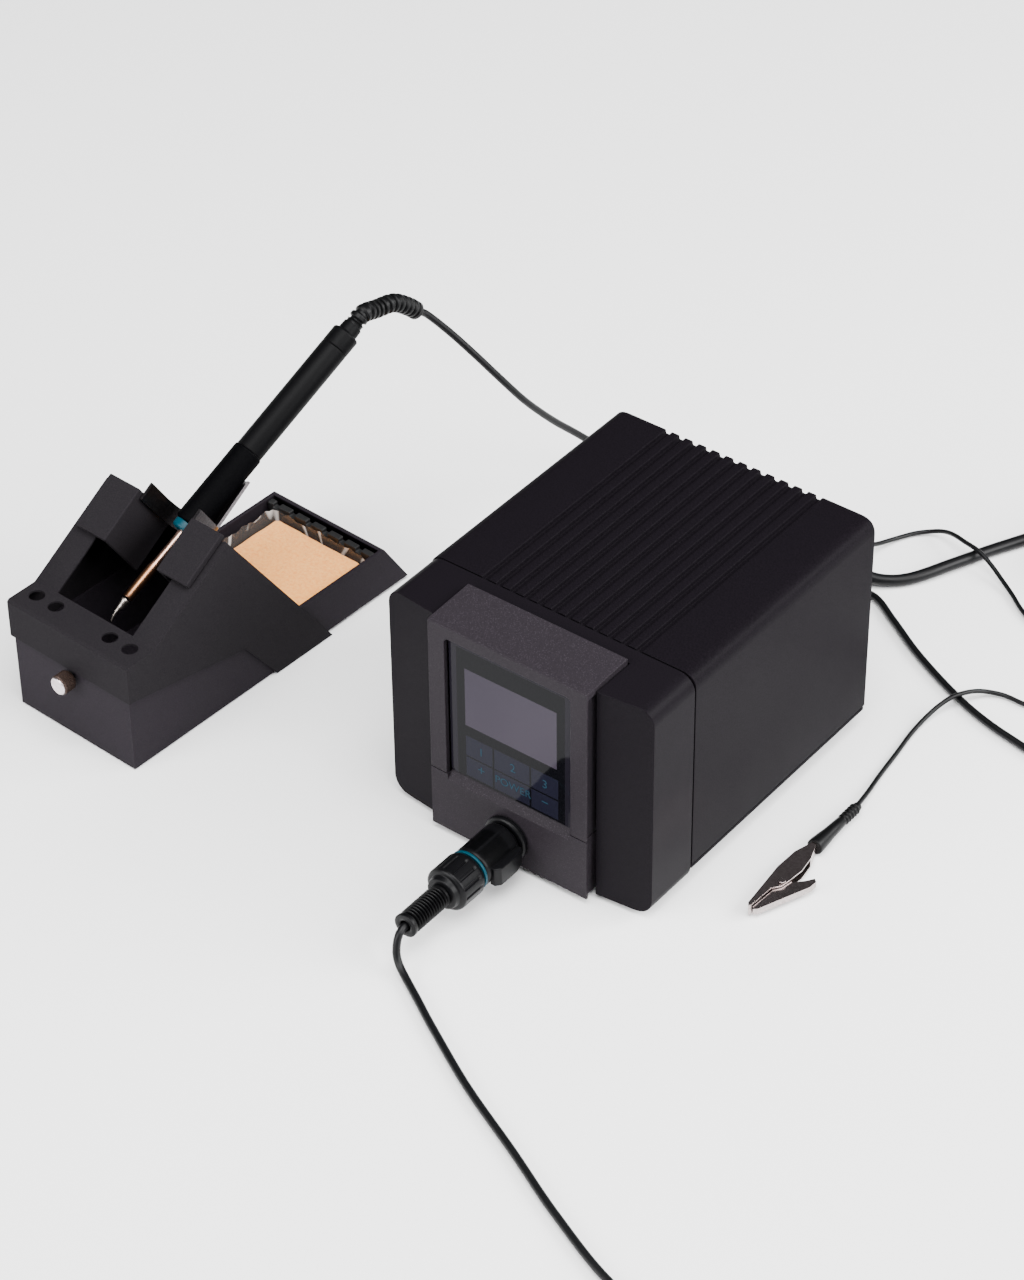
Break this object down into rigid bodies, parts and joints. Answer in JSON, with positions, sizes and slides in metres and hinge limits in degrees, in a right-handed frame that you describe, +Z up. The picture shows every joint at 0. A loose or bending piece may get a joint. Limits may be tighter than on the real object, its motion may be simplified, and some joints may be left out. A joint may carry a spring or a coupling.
{
  "type": "soldering station",
  "caption": "Desktop soldering station with a vented housing, front display and keys, a slim cartridge iron in a sloping holder with slag drawer and sponge tray, and its leads.",
  "frame": {"origin": "centre of the box around the housing and holder, on the table they stand on", "axes": "+X across the housing's front to its right, +Y from the front to the back, +Z up"},
  "size_m": [0.5094, 0.5024, 0.1285],
  "materials": {
    "housing_paint": "fine satin powder coat",
    "bezel_paint": "satin moulded plastic",
    "fascia_paint": "fine sparkle paint, grey violet",
    "lens": "smoked glossy window",
    "lcd": "grey liquid crystal face",
    "circuit_board": "green solder mask",
    "foot_rubber": "matt",
    "black_plastic": "moulded, fine spark texture",
    "nickel": "bright nickel plate",
    "knob_metal": "turned face with a dark knurled rim",
    "core_steel": "laminated steel",
    "winding": "enamelled copper wire",
    "heatsink_metal": "extruded",
    "teal_plastic": "teal ring",
    "holder_paint": "fine matt powder coat",
    "drawer_paint": "fine sparkle powder coat",
    "wiper_rubber": "matt",
    "sponge_foam": "cellulose sponge",
    "tip_steel": "tinned tip",
    "cartridge_metal": "heat coloured steel tube",
    "handle_rubber": "soft matt grip",
    "handle_plastic": "satin",
    "boot_rubber": "matt, ribbed",
    "cord_rubber": "satin jacket"
  },
  "bodies": {
    "station": {"cover_shell": "housing_paint", "front_bezel": "bezel_paint", "upper_fascia": "fascia_paint", "lower_fascia": "fascia_paint", "display_lens": "lens", "lcd_module": "lcd", "key_board": "circuit_board", "control_board": "circuit_board", "base_plate": "housing_paint", "foot_front_left": "foot_rubber", "foot_front_right": "foot_rubber", "foot_back_left": "foot_rubber", "foot_back_right": "foot_rubber", "rear_panel": "housing_paint", "mains_inlet": "black_plastic", "switch_frame": "black_plastic", "fuse_cap": "black_plastic", "ground_jack": "nickel", "transformer_core": "core_steel", "transformer_winding": "winding", "main_board": "circuit_board", "heatsink": "heatsink_metal", "iron_socket": "black_plastic", "plug_barrel": "black_plastic", "plug_ring": "teal_plastic", "plug_nut": "black_plastic", "plug_boot": "boot_rubber", "holder_shell": "holder_paint", "rest_block_left": "holder_paint", "rest_block_right": "holder_paint", "rest_cradle": "core_steel", "iron_cord": "cord_rubber", "mains_cord": "cord_rubber", "mains_tail": "cord_rubber", "mains_coil": "cord_rubber", "mains_plug": "black_plastic", "ground_cord": "cord_rubber", "ground_tail": "cord_rubber", "ground_coil": "cord_rubber", "clip_boot": "boot_rubber", "clip_fixed_jaw": "nickel", "clip_rivet": "nickel", "mains_connector": "black_plastic", "banana_plug": "black_plastic"},
    "iron": {"iron_tip": "tip_steel", "iron_cartridge": "cartridge_metal", "iron_collar": "teal_plastic", "iron_grip": "handle_rubber", "iron_barrel": "handle_plastic", "iron_cap": "handle_plastic", "iron_boot": "boot_rubber"},
    "drawer": {"slag_drawer": "drawer_paint", "drawer_knob": "knob_metal"},
    "tray": {"sponge_tray": "drawer_paint", "wiper_strip": "wiper_rubber", "sponge": "sponge_foam"},
    "power_key": {"switch_rocker": "black_plastic"},
    "latch": {"plug_latch": "black_plastic"},
    "clip_lever": {"clip_moving_jaw": "nickel"}
  },
  "joints": [
    {"name": "iron_lift", "type": "slide", "parent": "station", "child": "iron", "axis": [0.1428, 0.8455, 0.5145], "range_m": [0, 0.12]},
    {"name": "drawer_slide", "type": "slide", "parent": "station", "child": "drawer", "axis": [-0.0577, -0.9983, 0], "range_m": [0, 0.055]},
    {"name": "tray_slide", "type": "slide", "parent": "station", "child": "tray", "axis": [0.0577, 0.9983, 0], "range_m": [0, 0.05]},
    {"name": "power_rocker", "type": "hinge", "parent": "station", "child": "power_key", "pos_m": [0.04045, 0.0787, 0.034], "axis": [1, 0, 0], "range_deg": [0, 10]},
    {"name": "plug_latch_press", "type": "slide", "parent": "station", "child": "latch", "axis": [-1, 0, 0], "range_m": [0, 0.0005], "stiffness_N_per_m": 800, "springref_m": -0.001},
    {"name": "clip_jaw", "type": "hinge", "parent": "station", "child": "clip_lever", "pos_m": [0.17165, -0.0182, 0.0036], "axis": [0, 0, 1], "range_deg": [0, 22], "stiffness_Nm_per_rad": 0.04, "springref_deg": -28.65}
  ]
}
